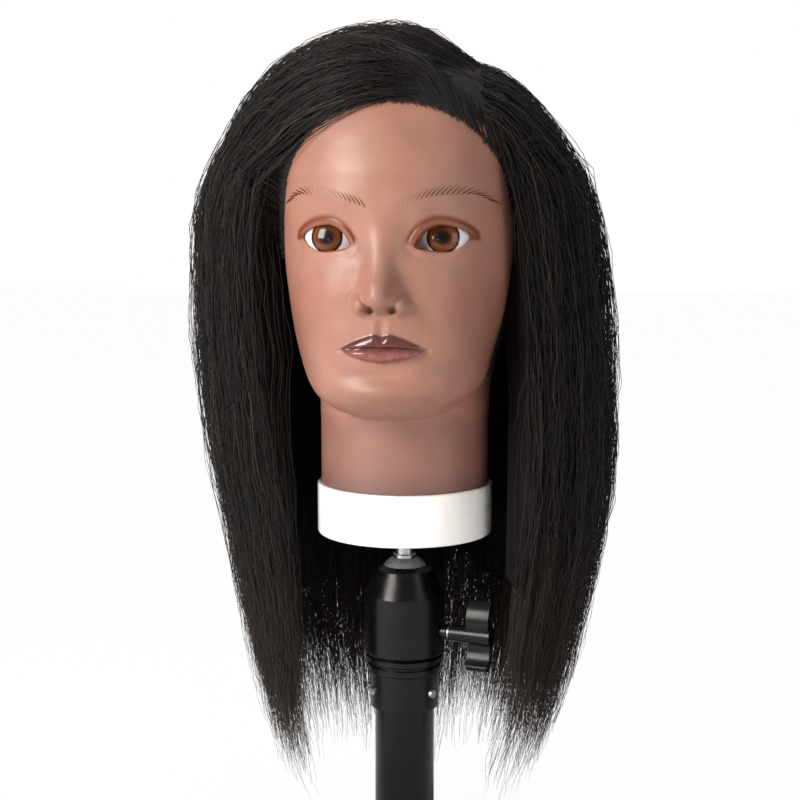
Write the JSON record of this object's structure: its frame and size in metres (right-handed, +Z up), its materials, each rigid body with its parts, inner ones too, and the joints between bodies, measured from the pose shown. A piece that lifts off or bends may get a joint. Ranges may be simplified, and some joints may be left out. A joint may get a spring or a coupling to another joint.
{
  "type": "mannequin training head",
  "caption": "Hairdressing training head with long parted hair on a ball-head holder clamped by a wing screw, at the top of a round column tube.",
  "frame": {"origin": "centre of the column tube's lower end", "axes": "+Z up along the column, the face looks towards -Y, +X to the head's own left"},
  "size_m": [0.2703, 0.2494, 0.513],
  "materials": {
    "column_black": "gloss black enamel on steel tube",
    "black_plastic": "gloss black moulded nylon",
    "screw_steel": "zinc plated",
    "zinc_steel": "bright zinc plated, turned",
    "acetal": "moulded acetal",
    "brass": "turned",
    "blasted_ball": "bead blasted grey",
    "bright_steel": "ground",
    "white_plastic": "moulded white ABS",
    "socket_plastic": "moulded black",
    "core_foam": "rigid polyurethane foam",
    "vinyl_skin": "soft vinyl, satin",
    "eye_acrylic": "polished acrylic",
    "black_hair": "long hair, combed out"
  },
  "bodies": {
    "stand": {"column_tube": "column_black", "tube_collar": "black_plastic", "collar_screws": "screw_steel", "ball_housing": "black_plastic", "threaded_insert": "zinc_steel"},
    "wedge": {"wedge_plunger": "acetal"},
    "tip": {"thrust_tip": "brass"},
    "knob": {"wing_knob": "black_plastic", "clamp_screw": "zinc_steel"},
    "cup": {"pressure_cup": "acetal"},
    "ball_stud": {"ball": "blasted_ball", "mounting_stem": "bright_steel", "stem_lock_ring": "bright_steel"},
    "head": {"base_cup": "white_plastic", "stem_socket": "socket_plastic", "base_screws": "screw_steel", "head_core": "core_foam", "head_skin": "vinyl_skin", "eye_left": "eye_acrylic", "eye_right": "eye_acrylic", "hair_top_swept": "black_hair", "hair_top_parted": "black_hair", "hair_side_left": "black_hair", "hair_side_right": "black_hair", "hair_back": "black_hair"},
    "hair_fall": {"hair_ends_left": "black_hair", "hair_ends_right": "black_hair", "hair_ends_back": "black_hair"}
  },
  "joints": [
    {"name": "wedge_lift", "type": "slide", "parent": "stand", "child": "wedge", "axis": [0, 0, -1], "range_m": [0, 0.00125]},
    {"name": "tip_travel", "type": "slide", "parent": "stand", "child": "tip", "axis": [0.9703, -0.2419, 0], "range_m": [0, 0.0025]},
    {"name": "knob_turn", "type": "hinge", "parent": "tip", "child": "knob", "pos_m": [0, 0, 0.136], "axis": [0.9703, -0.2419, 0], "range_deg": [0, 720]},
    {"name": "ball_swing", "type": "hinge", "parent": "stand", "child": "cup", "pos_m": [0, 0, 0.1685], "axis": [0, 0, 1], "continuous": true},
    {"name": "ball_tilt", "type": "hinge", "parent": "cup", "child": "ball_stud", "pos_m": [0, 0, 0.1685], "axis": [1, 0, 0], "range_deg": [-25, 25]},
    {"name": "head_turn", "type": "hinge", "parent": "ball_stud", "child": "head", "pos_m": [0, 0, 0.23], "axis": [0, 0, 1], "continuous": true},
    {"name": "hair_hang", "type": "hinge", "parent": "head", "child": "hair_fall", "pos_m": [0, 0, 0.1685], "axis": [1, 0, 0], "range_deg": [-25, 25], "deforming": ["hair_ends_left", "hair_ends_right", "hair_ends_back"]}
  ],
  "couplings": [
    {"joint": "wedge_lift", "follows": "knob_turn", "m_per_rad": 0.000099462},
    {"joint": "tip_travel", "follows": "knob_turn", "m_per_rad": 0.00019892},
    {"joint": "hair_hang", "follows": "ball_tilt", "ratio": -1}
  ]
}
